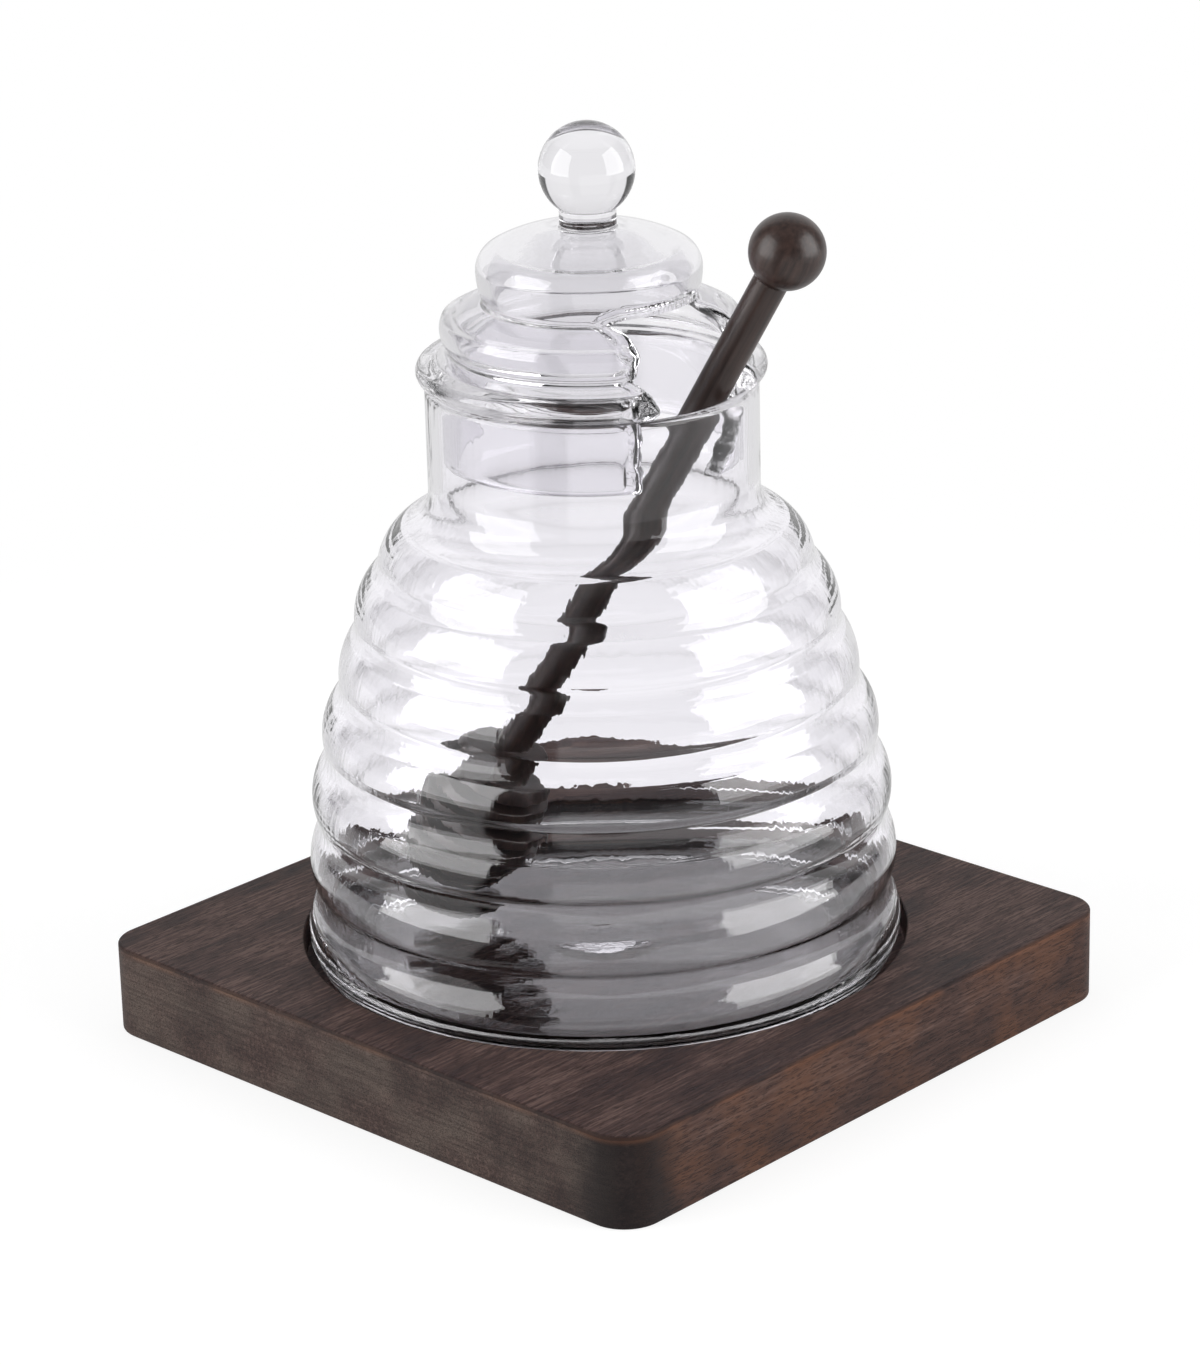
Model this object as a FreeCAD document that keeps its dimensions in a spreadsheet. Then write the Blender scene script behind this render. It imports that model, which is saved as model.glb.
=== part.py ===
"""Honey pot: a ribbed glass jar with a glass lid and a wooden dipper, on a square board.

Millimetres, +Z up. The origin is the middle of the board's underside, with the board's edges
along X and Y. Each sub-part is a PartDesign body whose sketches, features and place are bound
to the cells of one sheet of sizes.
"""
import FreeCAD, Part
import Sketcher
import math
import os

Vector = FreeCAD.Vector

SIZES = {
    # board: a square block with a round recess that holds the jar's foot
    "board_side": 125.0,
    "board_thickness": 16.5,
    "board_corner": 7.0,
    "board_arris": 0.5,
    "recess_radius": 52.8,
    "recess_depth": 5.0,
    "recess_arris": 0.4,
    # jar: seven blown ribs, counted from the foot, with a waist above each
    "jar_wall": 2.2,
    "jar_floor": 3.0,
    "foot_radius": 46.5,
    "heel_radius": 50.6,
    "heel_height": 2.8,
    "heel_bulge": 0.6,
    "heel_wall": 1.4,
    "rib1_height": 10.7,
    "rib2_height": 13.1,
    "rib3_height": 12.0,
    "rib4_height": 11.6,
    "rib5_height": 11.3,
    "rib6_height": 10.6,
    "rib7_height": 9.5,
    "rib1_bulge": 1.95,
    "rib2_bulge": 2.3,
    "rib3_bulge": 2.4,
    "rib4_bulge": 2.2,
    "rib5_bulge": 1.5,
    "rib6_bulge": 1.6,
    "rib7_bulge": 2.5,
    "waist1_radius": 49.5,
    "waist2_radius": 49.2,
    "waist3_radius": 47.6,
    "waist4_radius": 45.0,
    "waist5_radius": 42.1,
    "waist6_radius": 38.1,
    "neck_radius": 28.2,
    "neck_height": 23.2,
    "neck_round": 1.6,
    "waist_round": 1.5,
    # lid: a skirt inside the neck, three tiers and a ball for a knob
    "lid_wall": 2.2,
    "skirt_clearance": 0.8,
    "skirt_depth": 13.1,
    "flange_inset": 0.4,
    "tier1_overhang": 0.1,
    "tier1_height": 3.65,
    "tier1_bulge": 1.55,
    "tier1_crown": 0.3,
    "tier1_top": 1.35,
    "tier1_step": 5.1,
    "tier2_overhang": 1.7,
    "tier2_height": 6.1,
    "tier2_bulge": 1.2,
    "tier2_crown": 0.5,
    "tier2_top": 2.1,
    "tier2_step": 7.1,
    "tier3_overhang": 1.2,
    "tier3_height": 5.7,
    "tier3_bulge": 0.31,
    "dome_edge_inset": 2.35,
    "dome_edge_height": 3.97,
    "dome_edge_bulge": 0.64,
    "dome_height": 2.95,
    "dome_bulge": 0.77,
    "dome_wall": 2.4,
    "dome_edge_wall": 1.9,
    "tier_corner_drop": 0.7,
    "flange_wall": 1.1,
    "flange_hollow_bulge": 0.5,
    "knob_neck_radius": 4.8,
    "knob_radius": 8.1,
    "knob_height": 9.75,
    "lid_waist_round": 0.7,
    "lid_edge_round": 0.6,
    # notch in the lid's front, where the dipper's stick comes out
    "notch_side_room": 0.76,
    "notch_top": 28.0,
    "notch_corner": 5.0,
    "notch_foot": 2.9,
    "notch_below": 2.0,
    "notch_slant": 8.0,
    "notch_azimuth": -3.1,
    # dipper: a grooved head, a plain stick and a ball at its end
    "stick_radius": 3.0,
    "ball_radius": 6.4,
    "dipper_length": 142.6,
    "head_length": 28.0,
    "head_end_radius": 8.0,
    "head_bulge": 3.2,
    "groove_core_radius": 5.2,
    "groove_width": 2.2,
    "groove_pitch": 4.7,
    "groove_count": 5,
    "head_edge_round": 0.8,
    "dipper_tilt": 29.8,
    "dipper_turn": 15.3,
    # what lies on something else without a flat seat keeps this far from it
    "rest_gap": 0.3,
}
RIB_COUNT = 7
# a cut that takes less than this from a sub-part has missed it (mm3), and two places this near are one (mm)
LEAST_CUT = 500.0
SAME_PLACE = 0.01


def size(name):
    """Expression for one cell of the sheet."""
    return "Sizes." + name


def total(*terms):
    """Expression that adds its terms."""
    return " + ".join("(" + str(term) + ")" for term in terms)


def less(first, second):
    """Expression for the first term less the second."""
    return "(" + str(first) + ") - (" + str(second) + ")"


def add_sheet(doc):
    """Make the sheet that holds every driving size."""
    sheet = doc.addObject("Spreadsheet::Sheet", "Sizes")
    for row, (name, value) in enumerate(SIZES.items(), start=1):
        sheet.set("A" + str(row), name)
        sheet.set("B" + str(row), str(value))
        sheet.setAlias("B" + str(row), name)
    doc.recompute()


def add_body(doc, label):
    """Make an empty body with its own label."""
    body = doc.addObject("PartDesign::Body", label)
    body.Label = label
    return body


def origin_feature(body, role):
    """Find one of the body's own origin planes or axes by its role."""
    for feature in body.Origin.OriginFeatures:
        if feature.Role == role:
            return feature
    raise ValueError("no origin feature " + role)


def add_sketch(body, name, plane):
    """Make a sketch on one of the body's origin planes."""
    sketch = body.newObject("Sketcher::SketchObject", name)
    sketch.AttachmentSupport = [(origin_feature(body, plane), "")]
    sketch.MapMode = "FlatFace"
    return sketch


def arc_radius(start, end, bulge):
    """Expression for the radius of an arc whose middle stands out from its chord by bulge."""
    across = "(" + less(end[0], start[0]) + ")"
    along = "(" + less(end[1], start[1]) + ")"
    chord = "(" + across + " * " + across + " + " + along + " * " + along + ")"
    return chord + " / (8 * (" + bulge + ")) + (" + bulge + ") / 2"


def cap_bulge(radius, rise):
    """Expression for the bulge of an arc that ends level on the axis, such as a dome's."""
    square = "(({0}) * ({0}) + ({1}) * ({1}))".format(radius, rise)
    curve = "({0} / (2 * ({1})))".format(square, rise)
    return "{0} - sqrt({0} * {0} - {1} / 4)".format(curve, square)


def add_outline(sketch, nodes):
    """Draw a closed outline and bind it to the sheet.

    Each node is (x, y, bulge, side): the two coordinates as expressions, and for a segment
    that is an arc up to the next node, how far it stands out and to which side: 1 for the
    right of its direction and -1 for the left. A bulge of None is a straight segment.
    """
    points = [Vector(float(sketch.evalExpression(node[0])), float(sketch.evalExpression(node[1])), 0)
              for node in nodes]
    starts = []
    ends = []
    for index, node in enumerate(nodes):
        here = points[index]
        there = points[(index + 1) % len(nodes)]
        if node[2] is None:
            sketch.addGeometry(Part.LineSegment(here, there))
            starts.append(1)
            ends.append(2)
            continue
        bulge = float(sketch.evalExpression(node[2]))
        chord = there - here
        right = Vector(chord.y, -chord.x, 0).normalize() * node[3]
        radius = chord.Length ** 2 / (8 * bulge) + bulge / 2
        centre = (here + there) * 0.5 + right * (bulge - radius)
        first, last = (here, there) if node[3] > 0 else (there, here)
        angles = [math.atan2(point.y - centre.y, point.x - centre.x) for point in (first, last)]
        circle = Part.Circle(centre, Vector(0, 0, 1), radius)
        sketch.addGeometry(Part.ArcOfCircle(circle, angles[0], angles[1]))
        starts.append(1 if node[3] > 0 else 2)
        ends.append(2 if node[3] > 0 else 1)
    for index, node in enumerate(nodes):
        following = (index + 1) % len(nodes)
        sketch.addConstraint(Sketcher.Constraint(
            "Coincident", index, ends[index], following, starts[following]))
        for kind, expression, value in (("DistanceX", node[0], points[index].x),
                                        ("DistanceY", node[1], points[index].y)):
            number = sketch.addConstraint(Sketcher.Constraint(kind, index, starts[index], value))
            sketch.setExpression("Constraints[" + str(number) + "]", expression)
        if node[2] is not None:
            radius = arc_radius(node, nodes[following], node[2])
            number = sketch.addConstraint(Sketcher.Constraint(
                "Radius", index, float(sketch.evalExpression(radius))))
            sketch.setExpression("Constraints[" + str(number) + "]", radius)


def add_revolution(body, name, sketch):
    """Turn a sketch on the XZ plane right round the body's Z axis."""
    turned = body.newObject("PartDesign::Revolution", name)
    turned.Profile = sketch
    turned.ReferenceAxis = (origin_feature(body, "Z_Axis"), [""])
    turned.Angle = 360
    body.Document.recompute()
    return turned


def add_fillet(body, name, base, edges, radius):
    """Round the named edges of a feature by a cell of the sheet."""
    fillet = body.newObject("PartDesign::Fillet", name)
    fillet.Base = (base, edges)
    fillet.setExpression("Radius", radius)
    body.Document.recompute()
    return fillet


def rings_at(shape, places):
    """Names of the circular edges about Z at the given (radius, height) places."""
    names = []
    for number, edge in enumerate(shape.Edges, start=1):
        if edge.Degenerated or not isinstance(edge.Curve, Part.Circle):
            continue
        curve = edge.Curve
        for radius, height in places:
            if abs(curve.Radius - radius) < SAME_PLACE and abs(curve.Center.z - height) < SAME_PLACE:
                names.append("Edge" + str(number))
    if len(names) != len(places):
        raise ValueError("wanted " + str(len(places)) + " rings, found " + str(len(names)))
    return names


def values_of(sketch, nodes):
    """Radius and height of the given nodes as numbers."""
    return [(float(sketch.evalExpression(node[0])), float(sketch.evalExpression(node[1])))
            for node in nodes]


def add_board(doc):
    """Square board with rounded corners, eased edges and the recess for the jar."""
    body = add_body(doc, "board")
    half = size("board_side") + " / 2"
    corner = size("board_corner")
    inner = less(half, corner)
    bulge = corner + " * (1 - cos(45))"
    outline = add_sketch(body, "BoardOutline", "XY_Plane")
    nodes = []
    for across, along in ((1, 1), (-1, 1), (-1, -1), (1, -1)):
        before = (inner, half) if across * along < 0 else (half, inner)
        after = (before[1], before[0])
        nodes.append(("(" + before[0] + ") * " + str(across), "(" + before[1] + ") * " + str(along),
                      bulge, 1))
        nodes.append(("(" + after[0] + ") * " + str(across), "(" + after[1] + ") * " + str(along),
                      None, 0))
    add_outline(outline, nodes)
    block = body.newObject("PartDesign::Pad", "BoardBlock")
    block.Profile = outline
    block.setExpression("Length", size("board_thickness"))
    doc.recompute()
    level = [number for number, edge in enumerate(block.Shape.Edges, start=1)
             if edge.BoundBox.ZLength < SAME_PLACE]
    eased = add_fillet(body, "BoardEdges", block, ["Edge" + str(number) for number in level],
                       size("board_arris"))
    recess = add_sketch(body, "RecessSection", "XZ_Plane")
    floor = less(size("board_thickness"), size("recess_depth"))
    above = total(size("board_thickness"), size("recess_depth"))
    add_outline(recess, [("0", floor, None, 0),
                         (size("recess_radius"), floor, None, 0),
                         (size("recess_radius"), above, None, 0),
                         ("0", above, None, 0)])
    groove = body.newObject("PartDesign::Groove", "Recess")
    groove.Profile = recess
    groove.ReferenceAxis = (origin_feature(body, "Z_Axis"), [""])
    groove.Angle = 360
    doc.recompute()
    if groove.Shape.Volume > eased.Shape.Volume - LEAST_CUT:
        raise ValueError("the recess cut nothing")
    lip = rings_at(groove.Shape, [(SIZES["recess_radius"], SIZES["board_thickness"])])
    add_fillet(body, "RecessEdge", groove, lip, size("recess_arris"))
    return body


def add_jar(doc):
    """Blown glass jar with seven ribs, a straight neck and a rounded rim."""
    body = add_body(doc, "jar")
    wall = size("jar_wall")
    heights = [size("heel_height")]
    for number in range(1, RIB_COUNT + 1):
        heights.append(total(heights[-1], size("rib%d_height" % number)))
    radii = [size("heel_radius")]
    radii += [size("waist%d_radius" % number) for number in range(1, RIB_COUNT)]
    radii.append(size("neck_radius"))
    bulges = [size("rib%d_bulge" % number) for number in range(1, RIB_COUNT + 1)]
    shoulder = total(heights[-1], size("neck_height"))
    rim_half = wall + " / 2"
    rim = less(shoulder, rim_half)
    rim_bulge = rim_half + " * (1 - cos(45))"
    outside = [(radius, height, bulge, 1) for radius, height, bulge in zip(radii, heights, bulges)]
    neck_out = (radii[-1], heights[-1], None, 0)
    inside = [(less(radii[number], wall), heights[number], bulges[number - 1], -1)
              for number in range(RIB_COUNT, 0, -1)]
    neck_in = inside[0]
    heel_in = (less(size("heel_radius"), size("heel_wall")), total(size("heel_height"), wall),
               size("heel_bulge"), -1)
    floor_edge = (less(size("foot_radius"), wall), size("jar_floor"), None, 0)
    nodes = [("0", "0", None, 0), (size("foot_radius"), "0", size("heel_bulge"), 1)]
    nodes += outside
    nodes += [neck_out,
              (radii[-1], rim, rim_bulge, 1),
              (less(radii[-1], rim_half), shoulder, rim_bulge, 1),
              (less(radii[-1], wall), rim, None, 0)]
    nodes += inside
    nodes += [heel_in, floor_edge, ("0", size("jar_floor"), None, 0)]
    section = add_sketch(body, "JarSection", "XZ_Plane")
    add_outline(section, nodes)
    shell = add_revolution(body, "JarShell", section)
    waists = rings_at(shell.Shape, values_of(section, outside[1:] + inside[1:]))
    waisted = add_fillet(body, "JarWaists", shell, waists, size("waist_round"))
    roots = rings_at(waisted.Shape, values_of(section, [neck_out, neck_in]))
    add_fillet(body, "NeckRoot", waisted, roots, size("neck_round"))
    foot_height = less(size("board_thickness"), size("recess_depth"))
    body.setExpression("Placement.Base.z", foot_height)
    return body, foot_height, total(foot_height, shoulder)


def add_lid(doc, rim_height):
    """Glass lid: a skirt, three tiers under a ball, and the notch for the dipper."""
    body = add_body(doc, "lid")
    wall = size("lid_wall")
    skirt = less(less(size("neck_radius"), size("jar_wall")), size("skirt_clearance"))
    flange = less(size("neck_radius"), size("flange_inset"))
    tier1_radius = total(size("neck_radius"), size("tier1_overhang"))
    waist1_radius = less(tier1_radius, size("tier1_step"))
    tier2_radius = total(waist1_radius, size("tier2_overhang"))
    waist2_radius = less(tier2_radius, size("tier2_step"))
    tier3_radius = total(waist2_radius, size("tier3_overhang"))
    dome_edge_radius = less(tier3_radius, size("dome_edge_inset"))
    seat = size("skirt_depth")
    tier1 = total(seat, size("tier1_height"))
    waist1 = total(tier1, size("tier1_top"))
    tier2 = total(waist1, size("tier2_height"))
    waist2 = total(tier2, size("tier2_top"))
    tier3 = total(waist2, size("tier3_height"))
    dome_edge = total(tier3, size("dome_edge_height"))
    dome = total(dome_edge, size("dome_height"))
    ball = size("knob_radius")
    stem = size("knob_neck_radius")
    ball_middle = total(dome, size("knob_height"))
    stem_top = less(ball_middle, "sqrt({0} * {0} - {1} * {1})".format(ball, stem))
    ball_low_bulge = "{0} * (1 - cos(acos({1} / {0}) / 2))".format(ball, stem)
    ball_high_bulge = ball + " * (1 - cos(45))"
    outside = [
        (less(skirt, wall), "0", None, 0),
        (skirt, "0", None, 0),
        (skirt, seat, None, 0),
        (flange, seat, size("tier1_bulge"), 1),
        (tier1_radius, tier1, size("tier1_crown"), 1),
        (waist1_radius, waist1, size("tier2_bulge"), 1),
        (tier2_radius, tier2, size("tier2_crown"), 1),
        (waist2_radius, waist2, size("tier3_bulge"), 1),
        (tier3_radius, tier3, size("dome_edge_bulge"), 1),
        (dome_edge_radius, dome_edge, size("dome_bulge"), 1),
        (stem, dome, None, 0),
        (stem, stem_top, ball_low_bulge, 1),
        (ball, ball_middle, ball_high_bulge, 1),
        ("0", total(ball_middle, ball), None, 0),
    ]
    inner_edge_radius = less(dome_edge_radius, size("dome_edge_wall"))
    inner_edge = less(dome_edge, size("dome_edge_wall"))
    inner_top = less(dome, size("dome_wall"))
    inside = [
        ("0", inner_top, cap_bulge(inner_edge_radius, less(inner_top, inner_edge)), -1),
        (inner_edge_radius, inner_edge, size("dome_edge_bulge"), -1),
        (less(tier3_radius, wall), tier3, size("tier3_bulge"), -1),
        (less(waist2_radius, wall), waist2, size("tier2_crown"), -1),
        (less(tier2_radius, wall), less(tier2, size("tier_corner_drop")), size("tier2_bulge"), -1),
        (less(waist1_radius, wall), total(waist1, size("tier_corner_drop")), size("tier1_crown"), -1),
        (less(tier1_radius, wall), less(tier1, size("tier_corner_drop")), size("flange_hollow_bulge"), -1),
        (less(skirt, wall), total(seat, size("flange_wall")), None, 0),
    ]
    section = add_sketch(body, "LidSection", "XZ_Plane")
    add_outline(section, outside + inside)
    shell = add_revolution(body, "LidShell", section)
    waists = rings_at(shell.Shape, values_of(section, [outside[5], outside[7], inside[3], inside[5]]))
    waisted = add_fillet(body, "LidWaists", shell, waists, size("lid_waist_round"))
    corners = rings_at(waisted.Shape, values_of(section, outside[:3] + outside[10:12]))
    eased = add_fillet(body, "LidEdges", waisted, corners, size("lid_edge_round"))
    notch = add_sketch(body, "NotchOutline", "YZ_Plane")
    stick_side = size("neck_radius") + " * sin(" + size("dipper_turn") + ")"
    half = total(stick_side, size("stick_radius"), size("notch_side_room"))
    corner = size("notch_corner")
    corner_bulge = corner + " * (1 - cos(45))"
    top = size("notch_top")
    below = less("0", size("notch_below"))
    left = less("0", half)
    add_outline(notch, [
        (left, below, None, 0),
        (size("notch_foot"), below, None, 0),
        (size("notch_foot"), "0", None, 0),
        (half, size("notch_slant"), None, 0),
        (half, less(top, corner), corner_bulge, 1),
        (less(half, corner), top, None, 0),
        (less(corner, half), top, corner_bulge, 1),
        (left, less(top, corner), None, 0)])
    cut = body.newObject("PartDesign::Pocket", "Notch")
    cut.Profile = notch
    cut.Reversed = True
    cut.setExpression("Length", total(flange, half))
    doc.recompute()
    if cut.Shape.Volume > eased.Shape.Volume - LEAST_CUT:
        raise ValueError("the notch cut nothing")
    foot = less(total(rim_height, size("rest_gap")), seat)
    body.setExpression("Placement", "placement(vector(0; 0; {0}); rotation({1}; 0; 0))".format(
        foot, size("notch_azimuth")))
    return body


def add_dipper(doc, foot_height, rim_height):
    """Turned wooden dipper, leaning on the jar's rim with its head on the jar's floor."""
    body = add_body(doc, "dipper")
    stick = size("stick_radius")
    ball = size("ball_radius")
    end = size("head_end_radius")
    head = size("head_length")
    ball_middle = size("dipper_length")
    ball_foot = less(ball_middle, "sqrt({0} * {0} - {1} * {1})".format(ball, stick))
    ball_low_bulge = "{0} * (1 - cos(acos({1} / {0}) / 2))".format(ball, stick)
    ball_high_bulge = ball + " * (1 - cos(45))"
    nodes = [
        ("0", "0", None, 0),
        (end, "0", size("head_bulge"), 1),
        (end, head, None, 0),
        (stick, head, None, 0),
        (stick, ball_foot, ball_low_bulge, 1),
        (ball, ball_middle, ball_high_bulge, 1),
        ("0", total(ball_middle, ball), None, 0),
    ]
    section = add_sketch(body, "DipperSection", "XZ_Plane")
    add_outline(section, nodes)
    turned = add_revolution(body, "DipperTurned", section)
    ends = rings_at(turned.Shape, values_of(section, nodes[1:3]))
    eased = add_fillet(body, "HeadEdges", turned, ends, size("head_edge_round"))
    span = size("groove_pitch") + " * (" + size("groove_count") + " - 1)"
    first = "(" + less(less(head, span), size("groove_width")) + ") / 2"
    beyond = total(end, size("head_bulge"), "1")
    groove_section = add_sketch(body, "GrooveSection", "XZ_Plane")
    add_outline(groove_section, [
        (size("groove_core_radius"), first, None, 0),
        (beyond, first, None, 0),
        (beyond, total(first, size("groove_width")), None, 0),
        (size("groove_core_radius"), total(first, size("groove_width")), None, 0)])
    groove = body.newObject("PartDesign::Groove", "HeadGroove")
    groove.Profile = groove_section
    groove.ReferenceAxis = (origin_feature(body, "Z_Axis"), [""])
    groove.Angle = 360
    doc.recompute()
    pattern = body.newObject("PartDesign::LinearPattern", "HeadGrooves")
    pattern.Originals = [groove]
    pattern.Direction = (origin_feature(body, "Z_Axis"), [""])
    pattern.setExpression("Length", span)
    pattern.setExpression("Occurrences", size("groove_count"))
    body.Tip = pattern
    doc.recompute()
    if pattern.Shape.Volume > eased.Shape.Volume - LEAST_CUT:
        raise ValueError("the grooves cut nothing")
    tilt = size("dipper_tilt")
    azimuth = total(size("notch_azimuth"), size("dipper_turn"))
    rim_half = size("jar_wall") + " / 2"
    reach = "({0}) / cos({1})".format(total(rim_half, stick, size("rest_gap")), tilt)
    rest_radius = less(less(size("neck_radius"), rim_half), reach)
    rest_height = less(rim_height, rim_half)
    end_height = total(foot_height, size("jar_floor"), size("rest_gap"),
                       "{0} * sin({1})".format(end, tilt))
    end_radius = less(rest_radius, "({0}) * tan({1})".format(less(rest_height, end_height), tilt))
    body.setExpression("Placement", "placement(vector(({0}) * cos({1}); ({0}) * sin({1}); {2}); "
                       "rotation({1}; {3}; 0))".format(end_radius, azimuth, end_height, tilt))
    return body


def check(doc, bodies):
    """Stop if an object failed or a sub-part isn't one valid solid."""
    for item in doc.Objects:
        if "Invalid" in item.State or "Error" in item.State:
            raise ValueError("failed object " + item.Name)
    for body in bodies:
        shape = body.Shape
        if shape.isNull() or not shape.isValid() or len(shape.Solids) != 1:
            raise ValueError("bad shape " + body.Label)


def main():
    """Build every sub-part and write its shape."""
    doc = FreeCAD.newDocument("HoneyPot")
    add_sheet(doc)
    board = add_board(doc)
    jar, foot_height, rim_height = add_jar(doc)
    lid = add_lid(doc, rim_height)
    dipper = add_dipper(doc, foot_height, rim_height)
    bodies = [board, jar, lid, dipper]
    doc.recompute()
    check(doc, bodies)
    os.makedirs("parts", exist_ok=True)
    for body in bodies:
        body.Shape.exportStep("parts/" + body.Label + ".step")
        box = body.Shape.BoundBox
        print("%s: %.1f mm3, x %.2f to %.2f, y %.2f to %.2f, z %.2f to %.2f" % (
            body.Label, body.Shape.Volume, box.XMin, box.XMax, box.YMin, box.YMax, box.ZMin, box.ZMax))


main()
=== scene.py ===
"""Honey pot: a ribbed glass jar with a notched glass lid and a turned dipper, on a stained board.

Metres, +Z up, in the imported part's own frame. Sizes in the classes are in millimetres. The jar and
the lid are turned outlines made round by one Geometry Nodes lathe, the dipper is turned the same
way and then leant, and the board is a stack of rings that goes from a rounded square to a circle.
"""

import logging
import math
from collections.abc import Callable
from dataclasses import dataclass
from enum import Enum
from functools import partial

import bmesh
import bpy
from bpy.types import ID, Material, Mesh, NodeOutputs, NodeSocket, NodeTree, Object
from mathutils import Euler, Matrix, Vector


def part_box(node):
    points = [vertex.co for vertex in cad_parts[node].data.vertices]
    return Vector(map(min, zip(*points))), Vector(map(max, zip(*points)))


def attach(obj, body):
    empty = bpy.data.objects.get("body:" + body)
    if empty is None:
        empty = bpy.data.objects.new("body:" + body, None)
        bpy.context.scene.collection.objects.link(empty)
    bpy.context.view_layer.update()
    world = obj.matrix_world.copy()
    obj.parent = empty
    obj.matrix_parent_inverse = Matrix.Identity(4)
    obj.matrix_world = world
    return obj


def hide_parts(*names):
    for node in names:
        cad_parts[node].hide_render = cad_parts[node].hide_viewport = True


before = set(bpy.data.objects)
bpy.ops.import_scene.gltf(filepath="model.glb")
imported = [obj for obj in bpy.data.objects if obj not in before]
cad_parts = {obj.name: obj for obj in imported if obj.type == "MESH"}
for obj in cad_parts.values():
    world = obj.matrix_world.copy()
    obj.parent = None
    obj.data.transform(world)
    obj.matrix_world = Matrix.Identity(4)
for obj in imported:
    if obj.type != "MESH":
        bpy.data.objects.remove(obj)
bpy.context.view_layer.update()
MM = 0.001
WHITE = (1.0, 1.0, 1.0, 1.0)
SMOOTH = {"interpolation_type": "SMOOTHSTEP"}
LOG = logging.getLogger("honey_pot")
Pair = tuple[float, float]
Triple = tuple[float, float, float]
AddNode = Callable[..., NodeOutputs]


class Slot(Enum):
    """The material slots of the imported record."""

    GLASS = "clear_glass"
    BOARD = "board_wood"
    DIPPER = "dipper_wood"


class Side(Enum):
    """Which side of its chord an arc stands out to, looking along the outline."""

    RIGHT = 1
    LEFT = -1


def linear(code: str) -> tuple[float, float, float, float]:
    """Turn an sRGB hex colour into linear light.

    Args:
        code: Six hex digits.

    Returns:
        Linear red, green, blue and an alpha of one.
    """
    parts = [int(code[i : i + 2], 16) / 255 for i in (0, 2, 4)]
    light = [c / 12.92 if c <= 0.04045 else ((c + 0.055) / 1.055) ** 2.4 for c in parts]
    return (light[0], light[1], light[2], 1.0)


def add_node(tree: NodeTree, kind: str, *inputs: object, **settings: object) -> NodeOutputs:
    """Add one node with its settings and links.

    Args:
        tree: The tree that gets the node.
        kind: Blender's name for the node's type.
        inputs: Values or sockets in the order of the node's inputs, or one dictionary of them by
            name or number.
        settings: Properties of the node itself.

    Returns:
        The new node's outputs.
    """
    node = tree.nodes.new(kind)
    for name, value in settings.items():
        setattr(node, name, value)
    given = inputs[0] if inputs and isinstance(inputs[0], dict) else dict(enumerate(inputs))
    for key, value in given.items():
        if isinstance(value, NodeSocket):
            tree.links.new(value, node.inputs[key])
        else:
            node.inputs[key].default_value = value
    return node.outputs


def new_material(name: str) -> tuple[Material, AddNode]:
    """Make an empty node material.

    Args:
        name: The material's name.

    Returns:
        The material, and add_node for its tree.
    """
    material = bpy.data.materials.new(name)
    material.use_nodes = True
    material.node_tree.nodes.clear()
    return material, partial(add_node, material.node_tree)


# ---- outlines


@dataclass(frozen=True)
class Corner:
    """One corner of a turned outline: where it is, how it goes on and how it is rounded."""

    x: float
    y: float
    bulge: float = 0.0
    rounding: float = 0.0
    side: Side = Side.RIGHT


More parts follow.
